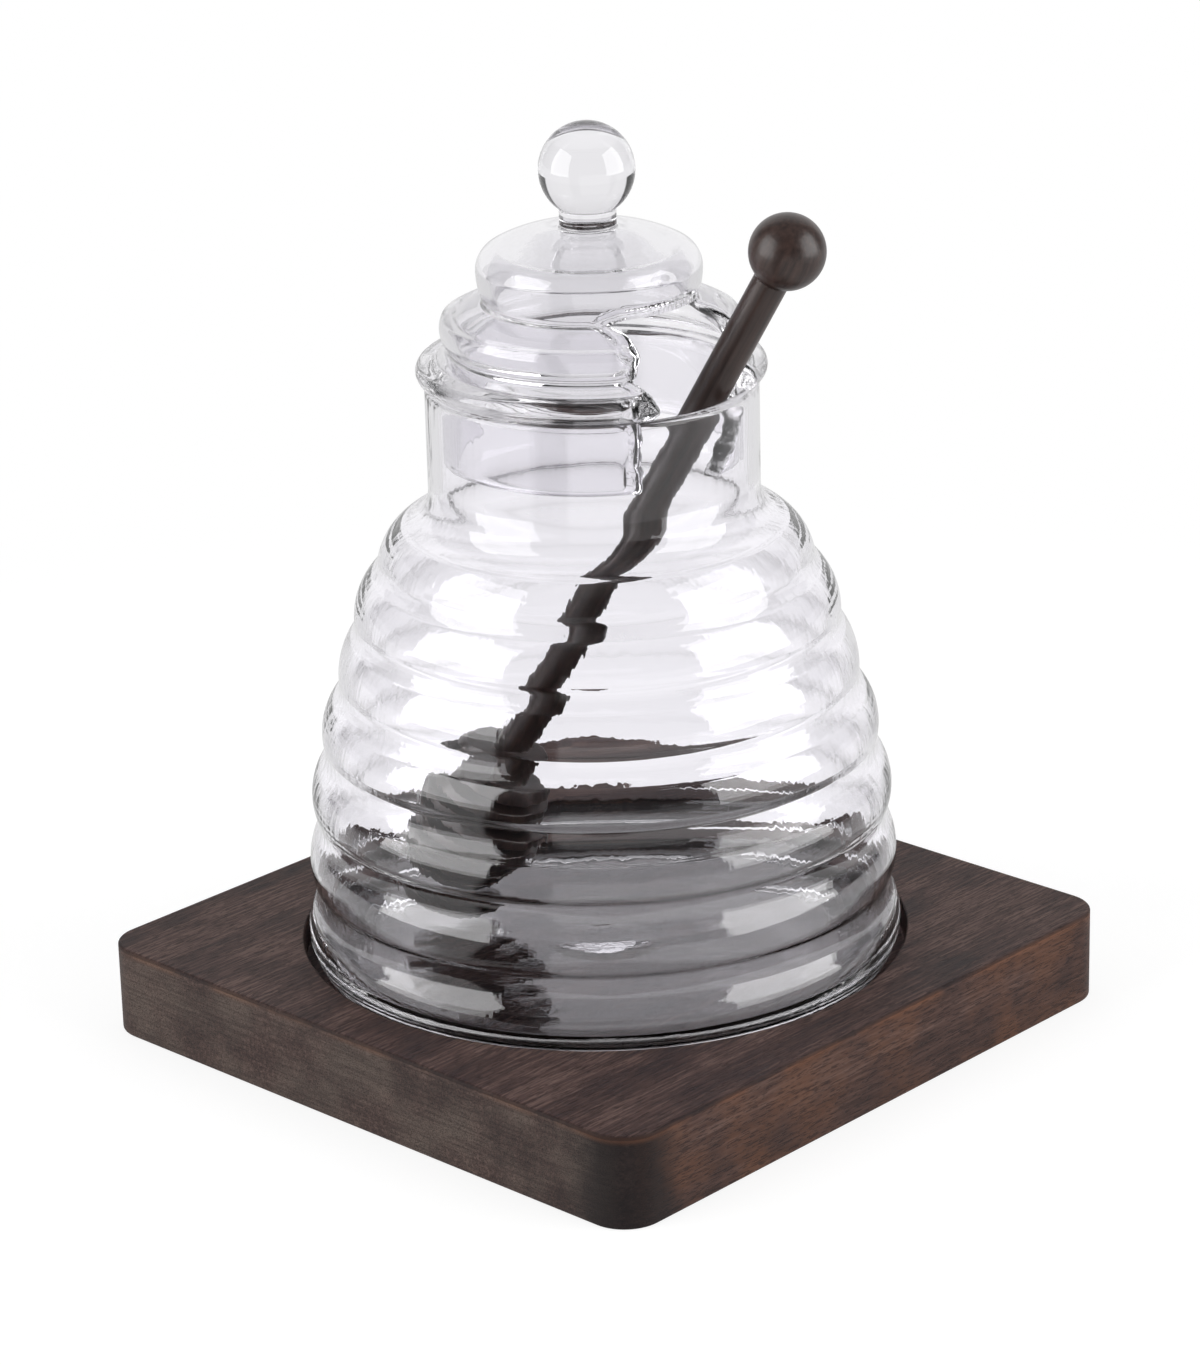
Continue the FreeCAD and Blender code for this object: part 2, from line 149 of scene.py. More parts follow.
@dataclass
class Outline:
    """A turned piece's half section, from one pole to the other, or any other line of corners."""

    corners: list[Corner]
    spacing: float = 0.5
    least_step: float = 0.02

    def run(self, first: Corner, last: Corner) -> list[Pair]:
        """Divide the way from one corner to the next.

        Args:
            first: Where the run starts; its bulge makes the run an arc.
            last: Where the run ends.

        Returns:
            Points from the first corner up to, and with, the last.
        """
        across, along = last.x - first.x, last.y - first.y
        chord = math.hypot(across, along)
        if not first.bulge:
            count = max(1, round(chord / (self.spacing * 2.5)))
            return [(first.x + across * i / count, first.y + along * i / count) for i in range(count + 1)]
        radius = chord * chord / (8 * first.bulge) + first.bulge / 2
        right = Vector((along, -across)).normalized() * first.side.value
        centre = Vector(((first.x + last.x) / 2, (first.y + last.y) / 2)) + right * (first.bulge - radius)
        start = Vector((first.x, first.y)) - centre
        sweep = 4 * math.atan(2 * first.bulge / chord) * first.side.value
        count = max(4, math.ceil(abs(sweep) * radius / self.spacing))
        points = []
        for c, s in [(math.cos(sweep * i / count), math.sin(sweep * i / count)) for i in range(count + 1)]:
            points.append((centre.x + start.x * c - start.y * s, centre.y + start.x * s + start.y * c))
        return points

    @staticmethod
    def walk(points: list[Pair], reach: float) -> tuple[Pair, list[Pair]]:
        """Step back from a run's end.

        Args:
            points: The run, whose last point is the corner.
            reach: How far to step back.

        Returns:
            The point reached, and the points before it.
        """
        left = list(points)
        while len(left) > 1:
            (ax, ay), (bx, by) = left[-2], left[-1]
            length = math.hypot(bx - ax, by - ay)
            if length > reach:
                share = reach / length
                return (bx + (ax - bx) * share, by + (ay - by) * share), left[:-1]
            reach -= length
            left.pop()
        return left[-1], left[:-1]

    def points(self) -> list[Pair]:
        """Give the whole outline as points, with its corners rounded.

        Returns:
            Points in order, about one spacing apart.
        """
        runs = [self.run(first, last) for first, last in zip(self.corners, self.corners[1:])]
        for number in range(1, len(runs)):
            corner = self.corners[number]
            if not corner.rounding:
                continue
            before, after = runs[number - 1], runs[number]
            turn = (Vector(before[-1]) - Vector(before[-2])).angle(Vector(after[1]) - Vector(after[0]))
            reach = corner.rounding * math.tan(turn / 2)
            enter, kept_before = self.walk(before, reach)
            leave, kept_after = self.walk(after[::-1], reach)
            steps = max(4, math.ceil(corner.rounding * turn / self.spacing * 1.6))
            ways = list(zip(enter, (corner.x, corner.y), leave))
            bend = []
            for t in [i / steps for i in range(steps + 1)]:
                bend.append(tuple((1 - t) ** 2 * a + 2 * t * (1 - t) * b + t * t * c for a, b, c in ways))
            runs[number - 1] = kept_before + bend
            runs[number] = [bend[-1]] + kept_after[::-1]
        flat = [runs[0][0]]
        for point in [point for one in runs for point in one[1:]]:
            if math.dist(point, flat[-1]) > self.least_step:
                flat.append(point)
        return flat


def arc_bulge(radius: float, sweep: float) -> float:
    """Tell how far an arc of some radius and sweep, in radians, stands out from its chord."""
    return radius * (1 - math.cos(sweep / 2))


def ball_end(stem: float, middle: float, radius: float, rounding: float) -> list[Corner]:
    """End an outline with a ball on a stem.

    Args:
        stem: The stem's radius.
        middle: Height of the ball's middle.
        radius: The ball's radius.
        rounding: Rounding where the stem meets the ball.

    Returns:
        The last corners, up to the ball's top.
    """
    join = middle - math.sqrt(radius**2 - stem**2)
    return [
        Corner(stem, join, arc_bulge(radius, math.acos(stem / radius)), rounding),
        Corner(radius, middle, arc_bulge(radius, math.pi / 2)),
        Corner(0, middle + radius),
    ]


# ---- meshes and the lathe


def add_object(name: str, data: ID | None) -> Object:
    """Put a named object with its data into the scene.

    Args:
        name: The object's name.
        data: Its mesh, light or camera.

    Returns:
        The new object.
    """
    made = bpy.data.objects.new(name, data)
    bpy.context.scene.collection.objects.link(made)
    return made


def face_outwards(mesh: Mesh) -> None:
    """Point every face of a closed mesh outwards.

    Args:
        mesh: The mesh to set right.
    """
    work = bmesh.new()
    work.from_mesh(mesh)
    bmesh.ops.recalc_face_normals(work, faces=work.faces)
    if work.calc_volume(signed=True) < 0:
        bmesh.ops.reverse_faces(work, faces=work.faces)
    work.to_mesh(mesh)
    work.free()


def close_rings(name: str, rings: list[list[Triple]], ends: tuple[Triple, Triple] | None = None) -> Mesh:
    """Join rings of as many points into one closed mesh.

    Args:
        name: The mesh's name.
        rings: The rings in order, in millimetres.
        ends: The points that close the first and the last ring, or nothing for two flat ends.

    Returns:
        The mesh, facing outwards.
    """
    work = bmesh.new()
    made = [[work.verts.new([c * MM for c in point]) for point in ring] for ring in rings]
    for near, far in zip(made, made[1:]):
        for i in range(len(near)):
            j = (i + 1) % len(near)
            work.faces.new((near[i], near[j], far[j], far[i]))
    if ends:
        for ring, end in zip((made[0], made[-1]), ends):
            pole = work.verts.new([c * MM for c in end])
            for i in range(len(ring)):
                work.faces.new((ring[i], ring[(i + 1) % len(ring)], pole))
    else:
        work.faces.new(made[0])
        work.faces.new(made[-1][::-1])
    for face in work.faces:
        face.smooth = True
    mesh = bpy.data.meshes.new(name)
    work.to_mesh(mesh)
    work.free()
    face_outwards(mesh)
    return mesh


def settle(piece: Object) -> Mesh:
    """Turn a piece with live modifiers into a plain mesh.

    Args:
        piece: The piece, which keeps its name.

    Returns:
        Its new mesh.
    """
    bpy.context.view_layer.update()
    graph = bpy.context.evaluated_depsgraph_get()
    made = bpy.data.meshes.new_from_object(piece.evaluated_get(graph), depsgraph=graph)
    piece.modifiers.clear()
    raw, piece.data = piece.data, made
    bpy.data.meshes.remove(raw)
    made.name = piece.name
    return made


def finish_piece(piece: Object, node: str) -> None:
    """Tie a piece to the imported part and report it.

    Args:
        piece: The finished piece.
        node: The node that it stands for.
    """
    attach(piece, "root")
    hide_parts(node)
    LOG.info("%s: %d faces, stands for %s", piece.name, len(piece.data.polygons), node)


class Lathe:
    """Geometry Nodes lathe: it carries an outline round the Z axis and closes its seam and poles."""

    weld: float = 1e-6

    def __init__(self) -> None:
        """Build the tree once, for every turned piece."""
        self.tree = bpy.data.node_groups.new("Lathe", "GeometryNodeTree")
        face = self.tree.interface
        face.new_socket("Outline", in_out="INPUT", socket_type="NodeSocketGeometry")
        self.inputs = {}
        for name, kind in (
            ("Columns", "NodeSocketInt"),
            ("Crowding", "NodeSocketFloat"),
            ("Crowded Angle", "NodeSocketFloat"),
            ("Weld Distance", "NodeSocketFloat"),
            ("Finish", "NodeSocketMaterial"),
        ):
            self.inputs[name] = face.new_socket(name, in_out="INPUT", socket_type=kind).identifier
        face.new_socket("Piece", in_out="OUTPUT", socket_type="NodeSocketGeometry")
        self.build()

    def build(self) -> None:
        """Add the nodes: a grid whose rows are the outline's points and whose columns go round."""
        add = partial(add_node, self.tree)
        given = add("NodeGroupInput")
        size = add("GeometryNodeAttributeDomainSize", given["Outline"], component="MESH")
        known = {name: given[name] for name in self.inputs}
        known["points"] = size["Point Count"]
        known["index"] = add("GeometryNodeInputIndex")[0]
        for name, operation, *parts in (
            ("rims", "ADD", "Columns", 1.0),
            ("row", "MODULO", "index", "points"),
            ("middle", "ADD", "index", 0.5),
            ("passed", "DIVIDE", "middle", "points"),
            ("column", "FLOOR", "passed"),
            ("share", "DIVIDE", "column", "Columns"),
            ("turn", "MULTIPLY", "share", math.tau),
            ("wave", "SINE", "turn"),
            ("squeeze", "MULTIPLY", "wave", "Crowding"),
            ("squeezed", "SUBTRACT", "turn", "squeeze"),
            ("angle", "ADD", "squeezed", "Crowded Angle"),
        ):
            values = [known.get(part, part) for part in parts]
            known[name] = add("ShaderNodeMath", *values, operation=operation)[0]
        grid = add("GeometryNodeMeshGrid", {"Vertices X": known["rims"], "Vertices Y": known["points"]})
        place = add("GeometryNodeInputPosition")[0]
        row = {"Geometry": given["Outline"], "Value": place, "Index": known["row"]}
        sample = add("GeometryNodeSampleIndex", row, data_type="FLOAT_VECTOR", domain="POINT")[0]
        turn = {"Vector": sample, "Angle": known["angle"]}
        spun = add("ShaderNodeVectorRotate", turn, rotation_type="Z_AXIS")[0]
        shape = grid["Mesh"]
        for kind, more in (
            ("GeometryNodeSetPosition", {"Position": spun}),
            ("GeometryNodeMergeByDistance", {"Distance": given["Weld Distance"]}),
            ("GeometryNodeSetShadeSmooth", {}),
            ("GeometryNodeRealizeInstances", {}),
            ("GeometryNodeSetMaterial", {"Material": given["Finish"]}),
        ):
            shape = add(kind, {0: shape, **more})[0]
        add("NodeGroupOutput", shape)

    def turn(
        self,
        name: str,
        outline: Outline,
        foot: float,
        finish: Material,
        columns: int,
        crowd: Pair = (0.0, 0.0),
    ) -> Object:
        """Make one turned piece as a plain mesh.

        Args:
            name: The piece's name.
            outline: Its half section.
            foot: How high the half section's zero stands, in millimetres.
            finish: Its material.
            columns: How many columns go round.
            crowd: How much closer the columns stand at one side, from 0 to 1, and where that side
                is, in radians from +X.

        Returns:
            The piece, with its faces pointing outwards.
        """
        mesh = bpy.data.meshes.new(name)
        points = [(x * MM, 0, (y + foot) * MM) for x, y in outline.points()]
        mesh.from_pydata(points, [(i, i + 1) for i in range(len(points) - 1)], [])
        piece = add_object(name, mesh)
        modifier = piece.modifiers.new("Lathe", "NODES")
        modifier.node_group = self.tree
        for identifier, value in zip(self.inputs.values(), (columns, *crowd, self.weld, finish)):
            modifier[identifier] = value
        face_outwards(settle(piece))
        return piece


# ---- finishes


@dataclass(frozen=True)
class BlownGlass:
    """Soda-lime glass, blown into a ribbed mould and fire polished.

    It is clear with a trace of cool tint, and its skin is not quite even: slow swells and fine
    upright drag lines from the mould bend what is seen through it and break its reflections.
    """

    name: str = "blown_soda_lime_glass"
    tint: str = "FCFBFE"
    ior: float = 1.5
    swell_size: Triple = (14.0, 14.0, 14.0)
    swell_depth: float = 0.2
    drag_size: Triple = (2.2, 2.2, 22.0)
    drag_depth: float = 0.04

    def make(self) -> Material:
        """Build the material.

        Returns:
            The glass.
        """
        material, add = new_material(self.name)
        place = add("ShaderNodeTexCoord")["Object"]
        skin = {}
        for size, depth, detail, roughness in (
            (self.swell_size, self.swell_depth, 1.0, 0.3),
            (self.drag_size, self.drag_depth, 2.0, 0.4),
        ):
            drawn = add("ShaderNodeMapping", {"Vector": place, "Scale": [1 / (s * MM) for s in size]})
            wave = {"Vector": drawn[0], "Scale": 1.0, "Detail": detail, "Roughness": roughness}
            height = add("ShaderNodeTexNoise", wave)[0]
            relief = {"Strength": 1.0, "Distance": depth * MM, "Height": height}
            skin = {"Normal": add("ShaderNodeBump", relief | skin)[0]}
        clear = {"Base Color": linear(self.tint), "Roughness": 0.0, "IOR": self.ior}
        shader = add("ShaderNodeBsdfPrincipled", clear | {"Transmission Weight": 1.0} | skin)
        add("ShaderNodeOutputMaterial", shader[0])
        return material


@dataclass(frozen=True)
class StainedHardwood:
    """Hardwood cut, sanded and wiped with dark stain, then left with a dull wax.

    The long grain shows as fine streaks and short open pores, the end grain as a mottle of fibres,
    and the stain gathers in the front corner and rubs thin along the top edges. The upright faces
    are also darkened a little against the top, as painted shade.
    """

    half: float
    thickness: float
    name: str = "stained_waxed_hardwood"
    dark: str = "2E2323"
    middle: str = "4A3936"
    pale: str = "6B5751"
    end_tone: str = "60564F"
    side_tone: str = "603F2D"
    pore_tone: str = "1E1617"
    # painted shade: the colour that darkens the upright faces against the top
    painted_shade_tone: str = "241A17"
    soaked_tone: str = "1B1718"
    rubbed_tone: str = "8A5A3E"
    streak: Triple = (0.55, 11.0, 0.55)
    band: Triple = (9.0, 150.0, 9.0)
    pore: Triple = (0.2, 2.0, 0.2)
    blotch: Triple = (13.0, 13.0, 13.0)
    fibre: Triple = (9.0, 1.0, 0.4)
    pore_share: float = 0.6
    painted_shade_share: float = 0.16
    soaked_reach: Pair = (15.0, 7.0)
    soaked_wander: float = 10.0
    rubbed_below: Pair = (1.8, 0.6)
    arris_below: float = 0.35
    arris_reach: Pair = (0.45, 0.2)
    roughness: Pair = (0.49, 0.65)
    relief: float = 0.05

    def make(self) -> Material:
        """Build the material.

        Returns:
            The wood.
        """
        material, add = new_material(self.name)
        coordinates = add("ShaderNodeTexCoord")
        place = coordinates["Object"]
        noises = []
        for size, detail, roughness in (
            (self.streak, 4.0, 0.5),
            (self.band, 2.0, 0.5),
            (self.pore, 1.0, 0.5),
            (self.blotch, 4.0, 0.5),
            (self.fibre, 3.0, 0.6),
        ):
            drawn = add("ShaderNodeMapping", {"Vector": place, "Scale": [1 / (s * MM) for s in size]})
            wave = {"Vector": drawn[0], "Scale": 1.0, "Detail": detail, "Roughness": roughness}
            noises.append(add("ShaderNodeTexNoise", wave)[0])
        streak, band, pore, blotch, fibre = noises

        flat = add("ShaderNodeVectorMath", coordinates["Normal"], operation="ABSOLUTE")
        facing = add("ShaderNodeSeparateXYZ", flat[0])
        x, y, z = add("ShaderNodeSeparateXYZ", place)
        along = add("ShaderNodeMath", y, x, operation="SUBTRACT")[0]
        wander = self.soaked_wander * MM
        away = add("ShaderNodeMath", blotch, wander, along, operation="MULTIPLY_ADD")[0]
        corner = self.soaked_wander / 2 - 2 * self.half
        arris = add("ShaderNodeMath", z, (self.thickness - self.arris_below) * MM, operation="SUBTRACT")
        off_arris = add("ShaderNodeMath", arris[0], operation="ABSOLUTE")[0]
        mask = {}
        for name, value, low, high, least, most in (
            ("bands", band, 0.38, 0.62, 0.0, 0.25),
            ("clouds", blotch, 0.3, 0.7, 0.0, 0.25),
            ("end", facing[1], 0.75, 0.97, 0.0, 1.0),
            ("side", facing[0], 0.75, 0.97, 0.0, 1.0),
            ("upright", facing[2], 0.9, 0.5, 0.0, 1.0),
            ("edge", facing[2], 0.995, 0.95, 0.0, 1.0),
            ("end patch", blotch, 0.35, 0.65, 0.2, 0.8),
            ("side patch", blotch, 0.35, 0.65, 0.15, 0.7),
            ("rubbed patch", blotch, 0.4, 0.6, 0.0, 1.0),
            ("fibres", fibre, 0.42, 0.62, 0.0, 0.42),
            ("pores", pore, 0.53, 0.62, 0.0, 1.0),
            ("soaked", away, *[(corner + reach) * MM for reach in self.soaked_reach], 0.0, 0.85),
            ("rubbed", z, *[(self.thickness - below) * MM for below in self.rubbed_below], 0.0, 0.22),
            ("arris", off_arris, *[reach * MM for reach in self.arris_reach], 0.0, 0.6),
        ):
            mask[name] = add("ShaderNodeMapRange", value, low, high, least, most, **SMOOTH)[0]

        tone = add("ShaderNodeMapRange", streak, 0.34, 0.66, 0.0, 0.5)[0]
        for part in ("bands", "clouds"):
            tone = add("ShaderNodeMath", tone, mask[part], operation="ADD")[0]
        ramp = add("ShaderNodeValToRGB", tone)
        stops = ramp[0].node.color_ramp.elements
        stops[0].position, stops[0].color = 0.15, linear(self.dark)
        stops[1].position, stops[1].color = 0.85, linear(self.pale)
        stops.new(0.5).color = linear(self.middle)
        colour = ramp[0]
        for layer, share, *factors in (
            (self.end_tone, mask["end"], mask["end patch"]),
            (self.dark, mask["end"], mask["fibres"]),
            (self.side_tone, mask["side"], mask["side patch"]),
            (self.pore_tone, mask["pores"], self.pore_share),
            # painted shade: the upright faces are darkened a little against the top
            (self.painted_shade_tone, mask["upright"], self.painted_shade_share),
            (self.soaked_tone, mask["soaked"], mask["upright"]),
            (self.rubbed_tone, mask["rubbed"], mask["upright"], mask["rubbed patch"]),
            (self.pore_tone, mask["arris"], mask["edge"]),
        ):
            for factor in factors:
                share = add("ShaderNodeMath", share, factor, operation="MULTIPLY")[0]
            colours = {0: share, 6: colour, 7: linear(layer)}
            colour = add("ShaderNodeMix", colours, data_type="RGBA")[2]
        rough = add("ShaderNodeMapRange", tone, 0.0, 1.0, *self.roughness)[0]
        height = add("ShaderNodeMath", streak, mask["pores"], operation="SUBTRACT")[0]
        grain = {"Strength": 0.8, "Distance": self.relief * MM, "Height": height}
        skin = add("ShaderNodeBump", grain)[0]
        waxed = {"Base Color": colour, "Roughness": rough, "Specular IOR Level": 0.15, "Normal": skin}
        shader = add("ShaderNodeBsdfPrincipled", waxed)
        add("ShaderNodeOutputMaterial", shader[0])
        return material


@dataclass(frozen=True)
class OiledTurnedWood:
    """Hardwood turned on a lathe, stained near black and oiled.

    Fine grain runs along the stick, faint tool rings go round it, and the oil gives the ball a
    soft satin light.
    """

    start: Triple
    turned: Triple
    name: str = "oiled_turned_hardwood"
    dark: str = "1D1514"
    pale: str = "40302B"
    grain: Triple = (0.7, 0.7, 22.0)
    cloud: Triple = (9.0, 9.0, 9.0)
    ring_pitch: float = 0.8
    ring_depth: float = 0.08
    roughness: float = 0.32
    relief: float = 0.06

    def make(self) -> Material:
        """Build the material.

        Returns:
            The wood.
        """
        material, add = new_material(self.name)
        place = add("ShaderNodeTexCoord")["Object"]
        lean = {"Vector": place, "Location": self.start, "Rotation": self.turned}
        own = add("ShaderNodeMapping", lean, vector_type="TEXTURE")[0]
        noises = []
        for size, detail, roughness in ((self.grain, 4.0, 0.6), (self.cloud, 2.0, 0.5)):
            drawn = add("ShaderNodeMapping", {"Vector": own, "Scale": [1 / (s * MM) for s in size]})
            wave = {"Vector": drawn[0], "Scale": 1.0, "Detail": detail, "Roughness": roughness}
            noises.append(add("ShaderNodeTexNoise", wave)[0])
        grain, cloud = noises
        share = add("ShaderNodeMath", cloud, 0.3, operation="MULTIPLY")[0]
        tone = add("ShaderNodeMath", grain, 0.7, share, operation="MULTIPLY_ADD")[0]
        ramp = add("ShaderNodeValToRGB", tone)
        stops = ramp[0].node.color_ramp.elements
        stops[0].position, stops[0].color = 0.32, linear(self.dark)
        stops[1].position, stops[1].color = 0.68, linear(self.pale)
        height = add("ShaderNodeSeparateXYZ", own)[2]
        pitch = math.tau / (self.ring_pitch * MM)
        phase = add("ShaderNodeMath", height, pitch, operation="MULTIPLY")[0]
        ring = add("ShaderNodeMath", phase, operation="SINE")[0]
        relief = add("ShaderNodeMath", ring, self.ring_depth, grain, operation="MULTIPLY_ADD")[0]
        tooled = {"Strength": 0.5, "Distance": self.relief * MM, "Height": relief}
        skin = add("ShaderNodeBump", tooled)[0]
        oiled = {"Base Color": ramp[0], "Roughness": self.roughness, "IOR": 1.5, "Normal": skin}
        shader = add("ShaderNodeBsdfPrincipled", oiled)
        add("ShaderNodeOutputMaterial", shader[0])
        return material


# ---- pieces


@dataclass
class Board:
    """Square board with rounded corners, eased edges and a round recess for the jar's foot."""

    corner: float = 7.0
    arris: float = 0.5
    recess_radius: float = 52.8
    recess_depth: float = 5.0
    recess_arris: float = 0.4
    corner_steps: int = 14
    straight_steps: int = 30
    ease_steps: int = 5

    def square(self, half: float, corner: float) -> list[Pair]:
        """Go round a rounded square.

        Args:
            half: Half of its side.
            corner: The radius of its corners.

        Returns:
            Its points, the same number whatever its size.
        """
        points = []
        inner = half - corner
        for quarter in range(4):
            turn = Matrix.Rotation(math.pi / 2 * quarter, 2)
            for i in range(self.corner_steps):
                angle = math.pi / 2 * i / self.corner_steps
                arm = Vector((math.cos(angle), math.sin(angle))) * corner
                points.append(turn @ (Vector((inner, inner)) + arm))
            first, last = turn @ Vector((inner, half)), turn @ Vector((-inner, half))
            points += [first.lerp(last, i / self.straight_steps) for i in range(self.straight_steps)]
        return [tuple(point) for point in points]

    def rings(self, half: float, top: float) -> list[list[Triple]]:
        """Stack the rings from under the board, over its edge and down into the recess.

        Args:
            half: Half of the board's side.
            top: The board's thickness.

        Returns:
            The rings, each as many points.
        """
        angles = [math.atan2(y, x) for x, y in self.square(half, self.corner)]
        quarter = [math.pi / 2 * i / self.ease_steps for i in range(self.ease_steps + 1)]
        bends = [(1 - math.sin(angle), 1 - math.cos(angle)) for angle in quarter]
        ease, lip = self.arris, self.recess_arris
        beside = ease + 0.4
        floor = top - self.recess_depth

        def level(inset: float, height: float) -> list[Triple]:
            """Give the outline set in by some amount at a height."""
            return [(x, y, height) for x, y in self.square(half - inset, self.corner - inset)]

        def circle(radius: float, height: float) -> list[Triple]:
            """Give a circle with a point for each of the outline's."""
            return [(radius * math.cos(a), radius * math.sin(a), height) for a in angles]

        rings = [circle(4, 0), circle(30, 0), level(6.5, 0), level(beside, 0)]
        rings += [level(ease * low, ease * high) for low, high in bends]
        rings += [level(0, height) for height in (beside, top / 2, top - beside)]
        rings += [level(ease * high, top - ease * low) for low, high in bends]
        rings.append(level(beside, top))
        edge, inside = level(2.0, top), circle(self.recess_radius + lip + 0.8, top)
        for share in (0.0, 0.25, 0.5, 0.75, 1.0):
            rings.append([tuple(a + (b - a) * share for a, b in zip(*pair)) for pair in zip(edge, inside)])
        rings.append(circle(self.recess_radius + lip + 0.15, top))
        rings += [circle(self.recess_radius + lip * low, top - lip * high) for low, high in bends]
        for inset, height in ((0, top - 1.2), (0, floor + 0.5), (0.05, floor + 0.2), (0.2, floor + 0.05)):
            rings.append(circle(self.recess_radius - inset, height))
        rings += [circle(self.recess_radius - inset, floor) for inset in (0.5, 1.2)]
        return rings + [circle(30, floor), circle(4, floor)]

    def build(self) -> None:
        """Make the board over its node."""
        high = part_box("board")[1]
        half, top = high.x / MM, high.z / MM
        poles = ((0, 0, 0), (0, 0, top - self.recess_depth))
        mesh = close_rings("board_block", self.rings(half, top), poles)
        mesh.materials.append(StainedHardwood(half, top).make())
        finish_piece(add_object("board_block", mesh), "board")


@dataclass
class Jar:
    """Blown jar with seven ribs, a straight neck and a rounded rim."""

    wall: float = 2.2
    floor: float = 3.0
    punt: float = 0.7
    foot_radius: float = 46.5
    foot_ring: Pair = (6.0, 1.5)
    foot_rounds: Triple = (3.0, 1.0, 1.2)
    heel: Pair = (50.6, 2.8)
    heel_bulge: float = 0.6
    heel_round: float = 2.5
    bottom_round: float = 9.0
    mound: Pair = (10.0, 0.7)
    mound_round: float = 5.0
    heights: tuple[float, ...] = (10.7, 13.1, 12.0, 11.6, 11.3, 10.6, 9.5)
    bulges: tuple[float, ...] = (1.95, 2.3, 2.4, 2.2, 1.5, 1.6, 2.5)
    waists: tuple[float, ...] = (49.5, 49.2, 47.6, 45.0, 42.1, 38.1)
    waist_round: float = 4.2
    waist_cut: float = 0.6
    inner_bulge: float = 1.22
    inner_waist_round: float = 4.2
    neck_radius: float = 28.2
    neck_height: float = 23.2
    neck_round: float = 5.0
    inner_neck_round: float = 7.0
    columns: int = 176

    def outline(self) -> Outline:
        """Draw the half section, from the foot's middle round the wall to the floor's middle.

        Returns:
            The outline, with the foot at height zero.
        """
        hollow, stand = self.foot_ring
        radius, height = self.heel
        out = [
            Corner(0, self.punt),
            Corner(self.foot_radius - hollow, self.punt, rounding=self.foot_rounds[0]),
            Corner(self.foot_radius - stand, 0.0, rounding=self.foot_rounds[1]),
            Corner(self.foot_radius, 0, self.heel_bulge, self.foot_rounds[2]),
            Corner(radius, height, self.bulges[0], self.heel_round),
        ]
        inside = []
        for rise, bulge, following, waist in zip(self.heights, self.bulges, self.bulges[1:], self.waists):
            height += rise
            out.append(Corner(waist - self.waist_cut, height, following, self.waist_round))
            within = bulge * self.inner_bulge
            inside.append(Corner(waist - self.wall, height, within, self.inner_waist_round, Side.LEFT))
        height += self.heights[-1]
        within = self.bulges[-1] * self.inner_bulge
        inside.append(Corner(self.neck_radius - self.wall, height, within, self.inner_neck_round, Side.LEFT))
        rim = height + self.neck_height
        lip = self.wall / 2
        quarter = arc_bulge(lip, math.pi / 2)
        out += [
            Corner(self.neck_radius, height, rounding=self.neck_round),
            Corner(self.neck_radius, rim - lip, quarter),
            Corner(self.neck_radius - lip, rim, quarter),
            Corner(self.neck_radius - self.wall, rim - lip),
        ]
        reach, top = self.mound[0], self.floor + self.mound[1]
        bottom = [
            Corner(radius - self.wall, self.floor, rounding=self.bottom_round),
            Corner(reach, self.floor, rounding=self.mound_round),
            Corner(reach / 2, top, rounding=self.mound_round),
            Corner(0, top),
        ]
        return Outline(out + inside[::-1] + bottom, spacing=0.58)

    def build(self, lathe: Lathe, glass: Material) -> None:
        """Turn the jar over its node.

        Args:
            lathe: The lathe.
            glass: Its material.
        """
        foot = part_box("jar")[0].z / MM
        finish_piece(lathe.turn("jar_glass", self.outline(), foot, glass, self.columns), "jar")


@dataclass(frozen=True)
class Step:
    """One step of the lid's outline: a tier's upper edge, or the waist over it.

    It rises over the step below, and its bulge is that of the run up to the next one. The inside
    has the same step one wall further in, shifted upwards and rounded by its own amounts.
    """

    radius: float
    rise: float
    bulge: float
    rounding: float
    inner_shift: float
    inner_round: float


